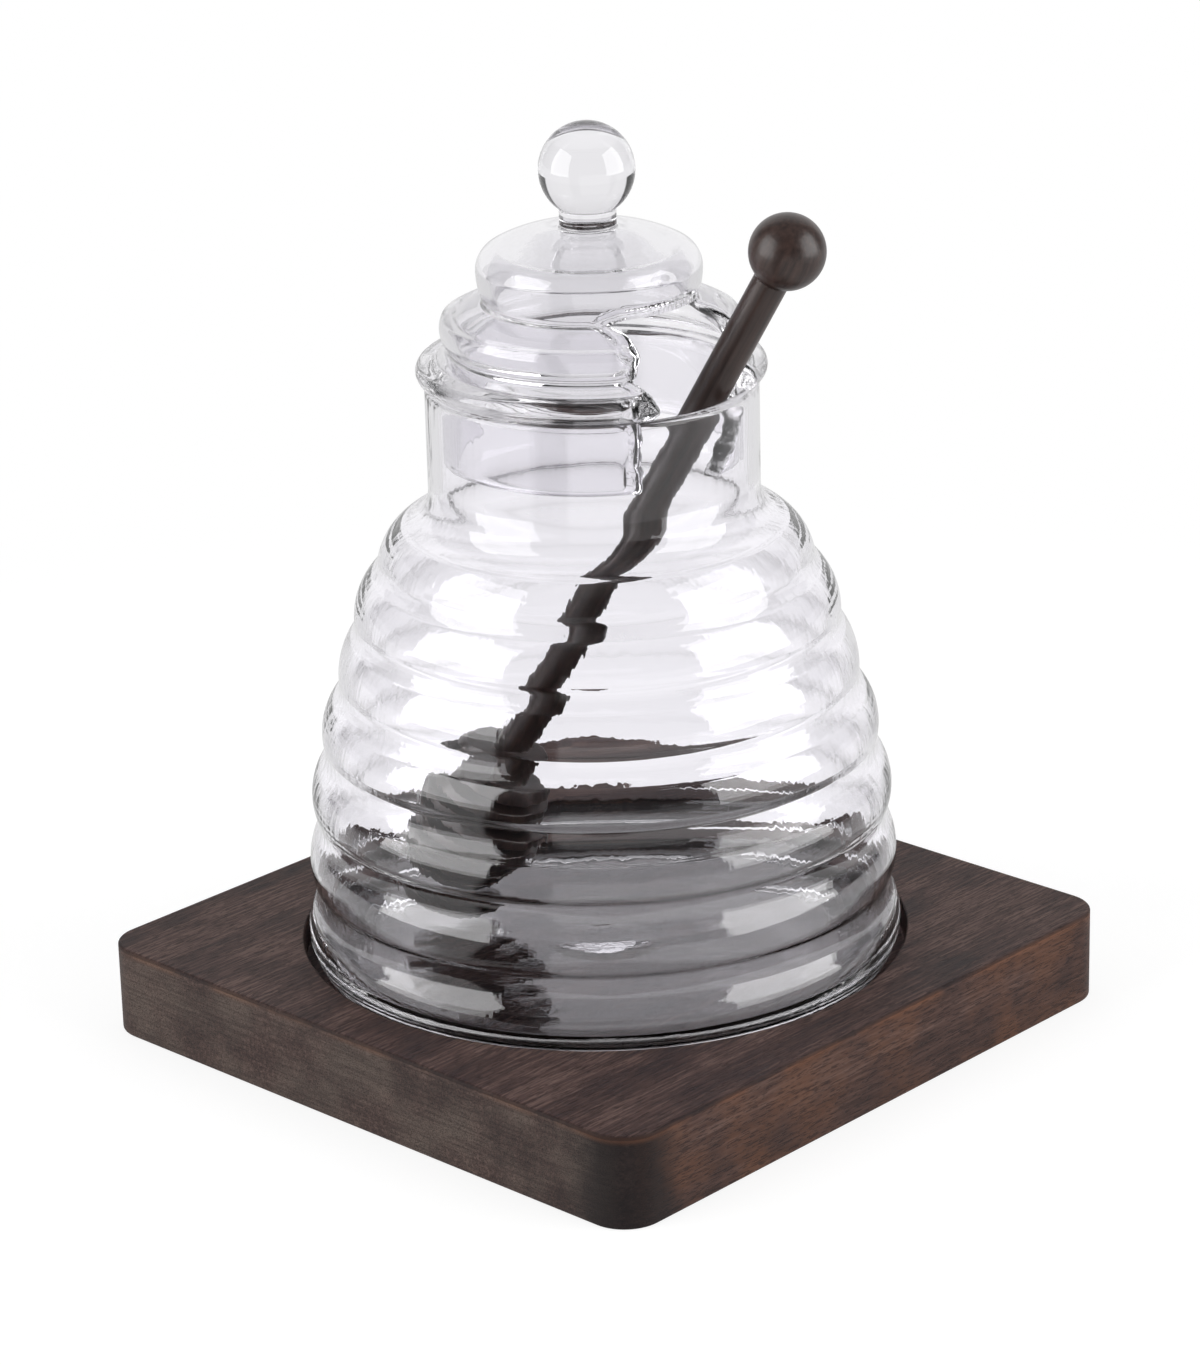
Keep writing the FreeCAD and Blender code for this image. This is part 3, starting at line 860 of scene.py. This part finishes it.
@dataclass
class Lid:
    """Pressed lid: a skirt inside the neck, three tiers, a dome, a ball and the dipper's notch."""

    wall: float = 2.2
    skirt_radius: float = 25.2
    skirt_depth: float = 13.1
    flange: float = 27.8
    flange_bulge: float = 1.55
    flange_round: float = 0.5
    shoulder_rise: float = 1.1
    shoulder_bulge: float = 0.5
    shoulder_round: float = 1.4
    steps: tuple[Step, ...] = (
        Step(28.3, 3.65, 0.3, 0.5, -0.7, 0.7),
        Step(23.2, 1.35, 1.2, 0.7, 0.7, 1.0),
        Step(24.9, 6.1, 0.5, 0.6, -0.7, 1.6),
        Step(17.8, 2.1, 0.31, 0.7, 0.0, 1.0),
        Step(19.0, 5.7, 0.64, 0.7, 0.0, 1.8),
    )
    dome_edge: Pair = (16.65, 3.97)
    dome_edge_wall: float = 1.9
    dome_edge_rounds: Pair = (0.8, 2.4)
    dome_rise: float = 2.95
    dome_bulge: float = 0.77
    dome_wall: float = 2.4
    stem_radius: float = 4.8
    ball_radius: float = 8.1
    ball_rise: float = 9.75
    edge_round: float = 0.6
    notch_half: float = 11.2
    notch_top: float = 28.0
    notch_corner: float = 5.0
    notch_foot: float = 2.9
    notch_slant: float = 8.0
    notch_below: float = 2.0
    notch_rounds: Pair = (1.0, 1.5)
    notch_azimuth: float = -3.1
    cut_from: float = 9.0
    cut_wall: float = 15.5
    cut_to: float = 42.0
    cut_step: float = 0.42
    cut_steps: int = 40
    weld: float = 0.03
    polish_from: float = 8.0
    polish_reach: float = 1.25
    polish_passes: int = 9
    bead_height: float = 0.5
    bead_wave: float = 7.0
    bead_ripple: float = 2.3
    bead_unevenness: float = 0.3
    columns: int = 210
    crowding: float = 0.6

    def outline(self) -> Outline:
        """Draw the half section, from under the dome round the skirt to the top of the ball.

        Returns:
            The outline, with the skirt's end at height zero.
        """
        wall, seat, edge_round = self.wall, self.skirt_depth, self.edge_round
        outside = [
            Corner(self.skirt_radius - wall, 0, rounding=edge_round),
            Corner(self.skirt_radius, 0, rounding=edge_round),
            Corner(self.skirt_radius, seat, rounding=edge_round),
            Corner(self.flange, seat, self.flange_bulge, self.flange_round),
        ]
        inside = [Corner(self.skirt_radius - wall, seat + self.shoulder_rise, rounding=self.shoulder_round)]
        height, bulge = seat, self.shoulder_bulge
        for step in self.steps:
            height += step.rise
            outside.append(Corner(step.radius, height, step.bulge, step.rounding))
            level = height + step.inner_shift
            inside.append(Corner(step.radius - wall, level, bulge, step.inner_round, Side.LEFT))
            bulge = step.bulge
        edge = height + self.dome_edge[1]
        dome = edge + self.dome_rise
        radius, inner_edge = self.dome_edge[0] - self.dome_edge_wall, edge - self.dome_edge_wall
        rise = dome - self.dome_wall - inner_edge
        curve = (radius**2 + rise**2) / (2 * rise)
        cap = curve - math.sqrt(curve**2 - (radius**2 + rise**2) / 4)
        inside.append(Corner(radius, inner_edge, bulge / 2, self.dome_edge_rounds[1], Side.LEFT))
        inside.append(Corner(0, inner_edge + rise, cap, side=Side.LEFT))
        outside.append(Corner(self.dome_edge[0], edge, self.dome_bulge, self.dome_edge_rounds[0]))
        outside.append(Corner(self.stem_radius, dome, rounding=edge_round))
        ball = ball_end(self.stem_radius, dome + self.ball_rise, self.ball_radius, edge_round)
        return Outline(inside[::-1] + outside + ball)

    def notch(self) -> list[Pair]:
        """Draw the notch, seen along its own direction.

        Returns:
            Points as offset and height over the skirt's end, in order.
        """
        half, top, corner, below = self.notch_half, self.notch_top, self.notch_corner, -self.notch_below
        bulge = arc_bulge(corner, math.pi / 2)
        line = [
            Corner(-half, below),
            Corner(self.notch_foot, below),
            Corner(self.notch_foot, 0.0, rounding=self.notch_rounds[0]),
            Corner(half, self.notch_slant, rounding=self.notch_rounds[1]),
            Corner(half, top - corner, bulge),
            Corner(half - corner, top),
            Corner(corner - half, top, bulge),
            Corner(-half, top - corner),
            Corner(-half, below),
        ]
        return Outline(line, spacing=self.cut_step).points()[:-1]

    def cutter(self, foot: float) -> Object:
        """Make the closed block that cuts the notch, finely divided where it meets the wall.

        Args:
            foot: Height of the skirt's end.

        Returns:
            A helper object, to be removed after the cut.
        """
        wall = [self.cut_wall + self.cut_step * i for i in range(self.cut_steps)]
        line = self.notch()
        rows = [[(depth, y, z + foot) for y, z in line] for depth in (self.cut_from, *wall, self.cut_to)]
        mesh = close_rings("notch_cutter", rows)
        mesh.transform(Matrix.Rotation(math.radians(self.notch_azimuth), 4, "Z"))
        return add_object("notch_cutter", mesh)

    def fire_polish(self, mesh: Mesh, foot: float) -> None:
        """Melt the notch's cut edges into a soft, uneven bead.

        Args:
            mesh: The lid's mesh, after the cut.
            foot: Height of the skirt's end.
        """
        line = [Vector(point) for point in self.notch()]
        back = Matrix.Rotation(-math.radians(self.notch_azimuth), 4, "Z")
        work = bmesh.new()
        work.from_mesh(mesh)
        bmesh.ops.remove_doubles(work, verts=work.verts, dist=self.weld * MM)
        bmesh.ops.triangulate(work, faces=[face for face in work.faces if len(face.verts) > 4])
        weights = {}
        for vert in work.verts:
            spot = back @ vert.co / MM
            if spot.x < self.polish_from:
                continue
            here = Vector((spot.y, spot.z - foot))
            near = min((here - point).length for point in line)
            if near < self.polish_reach:
                weights[vert] = 1 - (near / self.polish_reach) ** 2
        for _ in range(self.polish_passes):
            moved = {}
            for vert, weight in weights.items():
                others = [edge.other_vert(vert).co for edge in vert.link_edges]
                moved[vert] = vert.co.lerp(sum(others, Vector()) / len(others), weight / 2)
            for vert, place in moved.items():
                vert.co = place
        work.normal_update()
        for vert, weight in weights.items():
            height = vert.co.z / MM
            wave = math.sin(height * math.tau / self.bead_wave) + math.sin(height * self.bead_ripple)
            vert.co += vert.normal * self.bead_height * (1 + self.bead_unevenness * wave) * weight * MM
        for face in work.faces:
            face.smooth = True
        work.to_mesh(mesh)
        work.free()
        face_outwards(mesh)

    def build(self, lathe: Lathe, glass: Material) -> None:
        """Turn the lid over its node and cut its notch.

        Args:
            lathe: The lathe.
            glass: Its material.
        """
        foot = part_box("lid")[0].z / MM
        crowd = (self.crowding, math.radians(self.notch_azimuth))
        piece = lathe.turn("lid_glass", self.outline(), foot, glass, self.columns, crowd)
        tool = self.cutter(foot)
        cut = piece.modifiers.new("Notch", "BOOLEAN")
        cut.operation, cut.solver, cut.object = "DIFFERENCE", "EXACT", tool
        made = settle(piece)
        bpy.data.objects.remove(tool)
        made.materials.clear()
        made.materials.append(glass)
        self.fire_polish(made, foot)
        finish_piece(piece, "lid")


@dataclass
class Dipper:
    """Turned dipper: a grooved head, a plain stick and a ball, leaning on the jar's rim."""

    stick_radius: float = 3.0
    ball_radius: float = 6.4
    length: float = 142.6
    head_length: float = 28.0
    head_end_radius: float = 8.0
    head_bulge: float = 3.2
    core_radius: float = 5.2
    groove_width: float = 2.2
    groove_pitch: float = 4.7
    grooves: int = 5
    edge_round: float = 0.8
    groove_round: float = 0.35
    barrel_round: float = 0.2
    collar_rounds: Pair = (0.6, 0.5)
    tilt: float = 29.8
    azimuth: float = 12.2
    columns: int = 96

    def head_radius(self, height: float) -> float:
        """Radius of the barrel-shaped head at a height.

        Args:
            height: Height over the head's end.

        Returns:
            The radius.
        """
        radius = self.head_length**2 / (8 * self.head_bulge) + self.head_bulge / 2
        out = self.head_end_radius + self.head_bulge - radius
        return out + math.sqrt(radius**2 - (height - self.head_length / 2) ** 2)

    def outline(self) -> Outline:
        """Draw the half section, from the head's end to the top of the ball.

        Returns:
            The outline.
        """
        corners = [Corner(0, 0), Corner(self.head_end_radius, 0, rounding=self.edge_round)]
        span = self.groove_pitch * (self.grooves - 1) + self.groove_width
        start = (self.head_length - span) / 2
        previous = 0.0
        lows = [start + number * self.groove_pitch for number in range(self.grooves)]
        for low in (*lows, self.head_length):
            for share in (0.35, 0.7):
                height = previous + (low - previous) * share
                corners.append(Corner(self.head_radius(height), height, rounding=self.barrel_round))
            previous = low + self.groove_width
            if low < self.head_length:
                for radius, height in (
                    (self.head_radius(low), low),
                    (self.core_radius, low),
                    (self.core_radius, previous),
                    (self.head_radius(previous), previous),
                ):
                    corners.append(Corner(radius, height, rounding=self.groove_round))
        corners.append(Corner(self.head_end_radius, self.head_length, rounding=self.edge_round))
        corners.append(Corner(self.stick_radius, self.head_length, rounding=self.collar_rounds[0]))
        corners += ball_end(self.stick_radius, self.length, self.ball_radius, self.collar_rounds[1])
        return Outline(corners, spacing=0.45)

    def build(self, lathe: Lathe) -> None:
        """Turn the dipper and lean it where its node leans.

        Args:
            lathe: The lathe.
        """
        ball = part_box("dipper")[1] - Vector((1, 1, 1)) * self.ball_radius * MM
        turned = Euler((0, math.radians(self.tilt), math.radians(self.azimuth)), "XYZ")
        lean = turned.to_matrix().to_4x4()
        start = ball - (lean @ Vector((0, 0, self.length * MM)))
        finish = OiledTurnedWood(tuple(start), tuple(turned)).make()
        piece = lathe.turn("dipper_wood", self.outline(), 0.0, finish, self.columns)
        piece.data.transform(Matrix.Translation(start) @ lean)
        finish_piece(piece, "dipper")


# ---- studio


@dataclass
class Softbox:
    """One tall light, placed round the object by its bearing from the camera; its sizes are in metres."""

    name: str
    bearing: float
    width: float = 50.0
    low: float = -0.45
    high: float = 1.35
    radiance: float = 3.6
    distance: float = 1.3
    target: Triple = (0.0, 0.0, 0.06)

    def place(self, front: float) -> None:
        """Put the light in the scene.

        Args:
            front: Bearing of the camera in the frame, in degrees.
        """
        angle = math.radians(front + self.bearing)
        lamp = bpy.data.lights.new(self.name, "AREA")
        lamp.shape = "RECTANGLE"
        lamp.size = 2 * self.distance * math.tan(math.radians(self.width / 2))
        lamp.size_y = self.high - self.low
        lamp.energy = self.radiance * math.pi * lamp.size * lamp.size_y
        light = add_object(self.name, lamp)
        light.location = Vector(self.target) + Vector((math.cos(angle), math.sin(angle), 0)) * self.distance
        light.location.z = (self.high + self.low) / 2
        light.rotation_euler = (math.pi / 2, 0, angle + math.pi / 2)
        light.visible_camera = False
        LOG.info("%s at %d degrees from the camera", self.name, self.bearing)


@dataclass
class Studio:
    """Pale floor, white surroundings, two softboxes and the camera; its bearings start at the camera."""

    front: float = -46.6
    floor_size: float = 12.0
    location: Triple = (505.589, -534.115, 335.455)
    right: Triple = (0.73208, 0.68083, -0.02326)
    up: Triple = (-0.22179, 0.27049, 0.93683)
    back: Triple = (0.64411, -0.68067, 0.34902)
    lens: float = 120.13
    softboxes: tuple[Softbox, ...] = (Softbox("softbox_left", -68), Softbox("softbox_right", 72))
    side_light: float = 0.75
    sectors: tuple[Triple, ...] = (
        (128.0, 232.0, 0.97),
        (-84.0, 84.0, 0.06),
        (-138.0, -92.0, 0.03),
        (95.0, 134.0, 0.07),
    )
    gap: Triple = (-44.0, -16.0, 0.02)
    sector_ease: float = 4.0
    over_light: float = 0.25
    soft_light: float = 0.48
    near_glow: float = 0.78
    near_colour: float = 0.28
    near_to_far: Pair = (0.11, 0.3)
    mirrored_glow: float = 0.75
    mirrored_gap: float = 0.73
    gap_from: float = 0.09
    floor_colour: float = 0.85
    bounces: int = 20

    def camera(self) -> None:
        """Stand the camera where it sees the pot from the front left, a little from above."""
        data = bpy.data.cameras.new("camera")
        data.sensor_width, data.lens = 36.0, self.lens
        data.clip_start, data.clip_end = 0.05, 60.0
        camera = add_object("camera", data)
        turn = Matrix([self.right, self.up, self.back]).transposed().to_4x4()
        camera.matrix_world = Matrix.Translation(Vector(self.location) * MM) @ turn
        bpy.context.scene.camera = camera

    def sector(self, add: AddNode, place: NodeSocket, low: float, high: float) -> NodeSocket:
        """Mark a sector round the object, from one bearing to another.

        Args:
            add: Adds a node to a material's or the world's tree.
            place: A position or a direction from the object.
            low: Where the sector starts, in degrees from the camera.
            high: Where it ends.

        Returns:
            One inside the sector.
        """
        turn = {"Vector": place, "Angle": -math.radians(self.front + (low + high) / 2)}
        turned = add("ShaderNodeVectorRotate", turn, rotation_type="Z_AXIS")[0]
        x, y, _ = add("ShaderNodeSeparateXYZ", turned)
        signed = add("ShaderNodeMath", y, x, operation="ARCTAN2")[0]
        bearing = add("ShaderNodeMath", signed, operation="ABSOLUTE")[0]
        half, ease = math.radians(high - low) / 2, math.radians(self.sector_ease)
        return add("ShaderNodeMapRange", bearing, half, half - ease, **SMOOTH)[0]

    def world(self) -> None:
        """Make the surroundings: white behind, grey at the sides, dark gaps between the lights."""
        world = bpy.data.worlds.new("studio")
        bpy.context.scene.world = world
        world.use_nodes = True
        world.node_tree.nodes.clear()
        add = partial(add_node, world.node_tree)
        way = add("ShaderNodeTexCoord")["Generated"]
        height = add("ShaderNodeSeparateXYZ", way)[2]
        over = add("ShaderNodeMapRange", height, 0.8, 0.92, **SMOOTH)[0]
        path = add("ShaderNodeLightPath")
        parts = [(self.sector(add, way, low, high), light) for low, high, light in (*self.sectors, self.gap)]
        parts += [(over, self.over_light), (path["Is Diffuse Ray"], self.soft_light)]
        level = self.side_light
        for share, light in parts:
            level = add("ShaderNodeMix", {0: share, 2: level, 3: light}, data_type="FLOAT")[0]
        level = add("ShaderNodeMath", path["Is Camera Ray"], level, operation="MAXIMUM")[0]
        back = add("ShaderNodeBackground", WHITE, level)
        add("ShaderNodeOutputWorld", back[0])

    def floor(self) -> None:
        """Lay the pale floor, which keeps a soft shadow near the board and runs out to white.

        Seen straight or through glass it is pale to white, mirrored in glass it glows a little less,
        with the same dark gap as the surroundings, and for soft light it is plainly pale.
        """
        material, add = new_material("white_acrylic_sheet")
        place = add("ShaderNodeTexCoord")["Object"]
        reach = add("ShaderNodeVectorMath", place, operation="LENGTH")["Value"]
        far = add("ShaderNodeMapRange", reach, *self.near_to_far, **SMOOTH)[0]
        path = add("ShaderNodeLightPath")
        through = path["Is Transmission Ray"]
        bounced = add("ShaderNodeMath", path["Glossy Depth"], 0.5, operation="GREATER_THAN")[0]
        bent = add("ShaderNodeMath", through, bounced, operation="MULTIPLY")[0]
        straight = add("ShaderNodeMath", through, bent, operation="SUBTRACT")[0]
        seen = add("ShaderNodeMath", path["Is Camera Ray"], straight, operation="MAXIMUM")[0]
        mirrored = add("ShaderNodeMath", path["Is Glossy Ray"], bent, operation="MAXIMUM")[0]

        white = add("ShaderNodeEmission", WHITE, 1.0)[0]
        lift = add("ShaderNodeEmission", WHITE, self.near_glow)[0]
        matt = add("ShaderNodeBsdfDiffuse", (*[self.near_colour] * 3, 1))[0]
        near = add("ShaderNodeAddShader", matt, lift)[0]
        shown = add("ShaderNodeMixShader", far, near, white)[0]
        pale = add("ShaderNodeBsdfDiffuse", (*[self.floor_colour] * 3, 1))[0]
        gap = self.sector(add, place, *self.gap[:2])
        beyond = add("ShaderNodeMath", reach, self.gap_from, operation="GREATER_THAN")[0]
        dimmed = add("ShaderNodeMath", gap, beyond, operation="MULTIPLY")[0]
        dim, full = -self.mirrored_gap, self.mirrored_glow
        level = add("ShaderNodeMath", dimmed, dim, full, operation="MULTIPLY_ADD")[0]
        glow = add("ShaderNodeEmission", WHITE, level)[0]
        other = add("ShaderNodeMixShader", mirrored, pale, glow)[0]
        result = add("ShaderNodeMixShader", seen, other, shown)[0]
        add("ShaderNodeOutputMaterial", result)

        half = self.floor_size / 2
        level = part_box("board")[0].z - 0.02 * MM
        corners = [(x * half, y * half, level) for x, y in ((-1, -1), (1, -1), (1, 1), (-1, 1))]
        mesh = bpy.data.meshes.new("floor")
        mesh.from_pydata(corners, [], [(0, 1, 2, 3)])
        mesh.materials.append(material)
        add_object("floor", mesh)

    def build(self) -> None:
        """Set up the whole studio."""
        self.floor()
        self.world()
        for softbox in self.softboxes:
            softbox.place(self.front)
        self.camera()
        scene = bpy.context.scene
        scene.view_settings.view_transform = "Standard"
        for kind in ("max_bounces", "transmission_bounces", "glossy_bounces"):
            setattr(scene.cycles, kind, self.bounces)


def main() -> None:
    """Build the studio and the four pieces."""
    logging.basicConfig(level=logging.INFO, format="%(message)s")
    Studio().build()
    lathe = Lathe()
    blown = BlownGlass().make()
    # the lid keeps the glass's faint cool tint, and its extra grey is painted shade that greys the dome and
    # tiers
    pressed = BlownGlass("pressed_glass_tint_and_painted_shade", tint="F0EFF2", drag_depth=0.008, swell_depth=0.1).make()
    Board().build()
    Jar().build(lathe, blown)
    Lid().build(lathe, pressed)
    Dipper().build(lathe)


if __name__ == "__main__":
    main()
